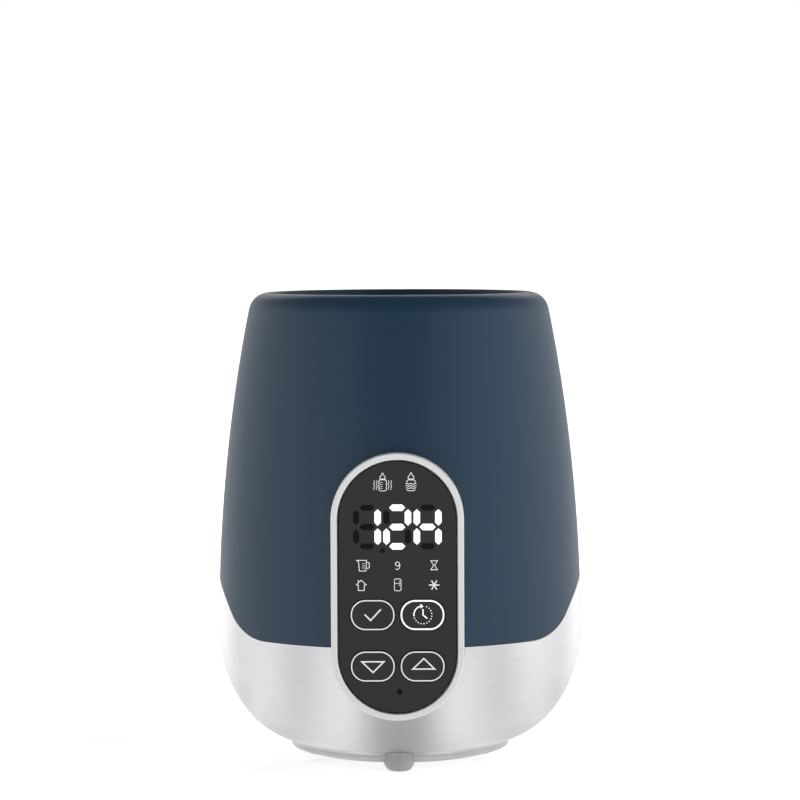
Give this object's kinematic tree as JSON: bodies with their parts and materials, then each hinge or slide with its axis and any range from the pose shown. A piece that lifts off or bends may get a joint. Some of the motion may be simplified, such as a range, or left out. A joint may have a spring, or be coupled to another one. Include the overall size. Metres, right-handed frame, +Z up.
{
  "type": "bottle warmer",
  "caption": "Round tabletop bottle warmer: open tapered shell over a steel bowl base, tall pill-shaped control panel with a digit display and push keys, and a lift-out basket in the well.",
  "frame": {"origin": "on the table, under the well's axis, at the middle of the footprint", "axes": "+Z up along the well's axis; the control panel faces -Y; +X is to the right of a person facing the panel"},
  "size_m": [0.14, 0.1444, 0.1791],
  "materials": {
    "navy_shell": "soft satin paint on moulded plastic",
    "steel": "fine horizontal brushing",
    "dark_moulding": "fine texture",
    "grey_moulding": "satin",
    "foot_rubber": "matte",
    "silver_trim": "satin silver coating",
    "fascia_black": "satin printed film",
    "key_black": "satin printed film",
    "display_black": "smooth",
    "light_guide": "translucent white",
    "led": "diffuse",
    "board_green": "solder mask",
    "chip_black": "moulded",
    "connector_white": "moulded",
    "switch_black": "moulded",
    "stem_white": "moulded",
    "ribbon_grey": "flat cable",
    "relay_blue": "moulded",
    "transformer_yellow": "tape over ferrite",
    "capacitor_sleeve": "shrink sleeve",
    "film_capacitor": "moulded",
    "fuse_ceramic": "plain",
    "terminal_green": "moulded",
    "inlet_black": "moulded",
    "pin_brass": "nickel plated",
    "lead_white": "silicone insulation",
    "lead_red": "silicone insulation",
    "liner_dark": "satin",
    "plate_aluminium": "coated",
    "seal_silicone": "silicone",
    "zinc_steel": "zinc plated",
    "element_steel": "heat-tinted",
    "thermostat_body": "phenolic",
    "basket_plastic": "satin"
  },
  "bodies": {
    "warmer": {"upper_shell": "navy_shell", "steel_cover": "steel", "inner_base": "dark_moulding", "base_plate": "grey_moulding", "foot_front": "foot_rubber", "foot_right": "foot_rubber", "foot_left": "foot_rubber", "panel_bezel": "silver_trim", "fascia": "fascia_black", "display_module": "display_black", "icon_light_guide": "light_guide", "indicator_leds": "led", "control_board": "board_green", "control_board_screws": "zinc_steel", "microcontroller": "chip_black", "buzzer": "chip_black", "control_connector": "connector_white", "power_connector": "connector_white", "ribbon_cable": "ribbon_grey", "ok_switch_body": "switch_black", "timer_switch_body": "switch_black", "down_switch_body": "switch_black", "up_switch_body": "switch_black", "power_board": "board_green", "power_board_screws": "zinc_steel", "heater_relay": "relay_blue", "power_transformer": "transformer_yellow", "bulk_capacitor": "capacitor_sleeve", "filter_capacitor": "film_capacitor", "mains_fuse": "fuse_ceramic", "terminal_block": "terminal_green", "power_inlet": "inlet_black", "inlet_pins": "pin_brass", "mains_leads": "lead_white", "well_liner": "liner_dark", "heating_plate": "plate_aluminium", "plate_seal": "seal_silicone", "heater_clamp": "zinc_steel", "heater_screws": "zinc_steel", "heating_element": "element_steel", "heater_leads": "lead_red", "thermostat": "thermostat_body", "thermal_fuse": "zinc_steel", "temperature_sensor": "zinc_steel", "liner_screws": "zinc_steel", "shell_screws": "zinc_steel", "base_screws": "zinc_steel"},
    "ok_button": {"ok_key": "key_black", "ok_switch_stem": "stem_white"},
    "timer_button": {"timer_key": "key_black", "timer_switch_stem": "stem_white"},
    "down_button": {"down_key": "key_black", "down_switch_stem": "stem_white"},
    "up_button": {"up_key": "key_black", "up_switch_stem": "stem_white"},
    "basket": {"bottle_basket": "basket_plastic"}
  },
  "joints": [
    {"name": "ok_press", "type": "slide", "parent": "warmer", "child": "ok_button", "axis": [0, 1, 0], "range_m": [0, 0.0008], "stiffness_N_per_m": 1500},
    {"name": "timer_press", "type": "slide", "parent": "warmer", "child": "timer_button", "axis": [0, 1, 0], "range_m": [0, 0.0008], "stiffness_N_per_m": 1500},
    {"name": "down_press", "type": "slide", "parent": "warmer", "child": "down_button", "axis": [0, 1, 0], "range_m": [0, 0.0008], "stiffness_N_per_m": 1500},
    {"name": "up_press", "type": "slide", "parent": "warmer", "child": "up_button", "axis": [0, 1, 0], "range_m": [0, 0.0008], "stiffness_N_per_m": 1500},
    {"name": "basket_lift", "type": "slide", "parent": "warmer", "child": "basket", "axis": [0, 0, 1], "range_m": [0, 0.12]}
  ]
}
